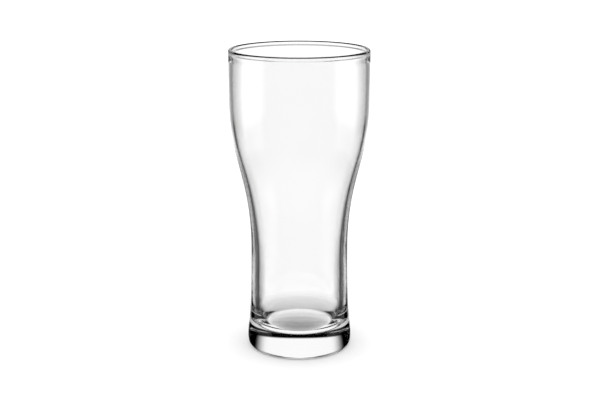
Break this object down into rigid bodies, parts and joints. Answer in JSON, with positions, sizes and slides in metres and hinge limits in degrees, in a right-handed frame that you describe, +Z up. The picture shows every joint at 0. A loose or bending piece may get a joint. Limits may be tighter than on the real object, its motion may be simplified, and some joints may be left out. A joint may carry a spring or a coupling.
{
  "type": "pint glass",
  "caption": "Tall clear drinking glass with a heavy round foot, narrow waist, wide upper bowl and rounded lip, for holding and pouring a pint of drink.",
  "frame": {"origin": "centre of the flat ring that the glass stands on, at table level", "axes": "+Z up along the glass's axis, from the foot to the lip; X and Y are any two level directions, because the glass is round"},
  "size_m": [0.0852, 0.0852, 0.186],
  "materials": {
    "clear_glass": "clear, fire-polished and glossy"
  },
  "bodies": {
    "root": {"glass_body": "clear_glass"}
  },
  "joints": []
}
